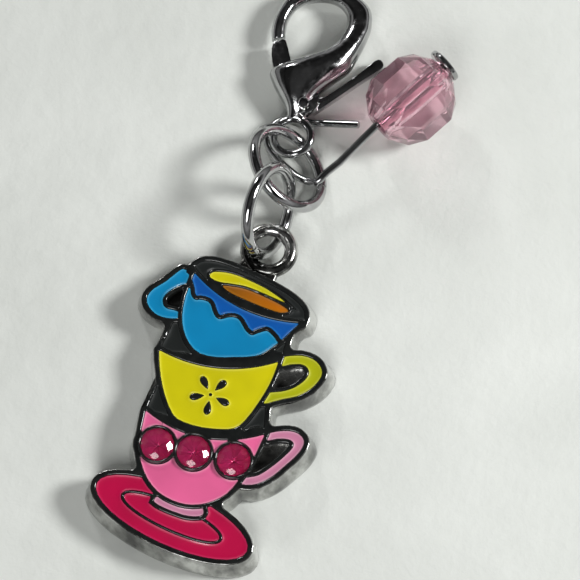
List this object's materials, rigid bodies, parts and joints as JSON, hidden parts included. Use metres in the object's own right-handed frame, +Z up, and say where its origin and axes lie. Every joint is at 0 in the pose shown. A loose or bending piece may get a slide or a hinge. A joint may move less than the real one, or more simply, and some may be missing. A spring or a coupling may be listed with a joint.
{
  "type": "dangle charm",
  "caption": "Enamelled dangle charm of stacked teacups on jump rings with a lobster clasp and a faceted bead on a pin.",
  "frame": {"origin": "on the surface that the charm lies on, under the middle of its box", "axes": "+Z up from the surface, +Y along the charm from the saucer to the clasp's hook, +X to the bead's side"},
  "size_m": [0.0186, 0.0404, 0.0061],
  "materials": {
    "bright_metal": "polished plating",
    "light_blue_enamel": "soft enamel, glossy",
    "dark_blue_enamel": "soft enamel, glossy",
    "yellow_enamel": "soft enamel, glossy",
    "olive_yellow_enamel": "soft enamel, glossy",
    "tea_brown_enamel": "soft enamel, glossy",
    "pink_enamel": "soft enamel, glossy",
    "dusty_pink_enamel": "soft enamel, glossy",
    "crimson_enamel": "soft enamel, glossy",
    "black_enamel": "soft enamel, glossy",
    "pink_stone": "round cut, clear",
    "pink_bead": "faceted, clear"
  },
  "bodies": {
    "root": {"pendant_plate": "bright_metal", "blue_cup_enamel": "light_blue_enamel", "blue_band_enamel": "dark_blue_enamel", "blue_handle_enamel": "light_blue_enamel", "rim_enamel": "yellow_enamel", "tea_enamel": "tea_brown_enamel", "dark_top_enamel": "black_enamel", "yellow_cup_enamel": "yellow_enamel", "yellow_handle_enamel": "olive_yellow_enamel", "dark_middle_left": "black_enamel", "dark_middle_right": "black_enamel", "pink_cup_enamel": "pink_enamel", "pink_peak_1": "pink_enamel", "pink_peak_2": "pink_enamel", "pink_peak_3": "pink_enamel", "pink_peak_4": "pink_enamel", "pink_handle_enamel": "dusty_pink_enamel", "foot_enamel": "dusty_pink_enamel", "dark_lower_left": "black_enamel", "dark_lower_right": "black_enamel", "saucer_enamel": "crimson_enamel", "saucer_oval_enamel": "crimson_enamel", "stone_left": "pink_stone", "stone_middle": "pink_stone", "stone_right": "pink_stone", "lower_jump_ring": "bright_metal", "upper_jump_ring": "bright_metal", "clasp_body": "bright_metal", "clasp_pivot_pin": "bright_metal", "head_pin": "bright_metal", "bead": "pink_bead"},
    "trigger": {"clasp_trigger": "bright_metal"}
  },
  "joints": [
    {"name": "trigger_pivot", "type": "hinge", "parent": "root", "child": "trigger", "pos_m": [-0.0005, 0.01153, 0.00133], "axis": [0, 0, -1], "range_deg": [0, 12], "stiffness_Nm_per_rad": 0.001, "springref_deg": -5.73}
  ]
}
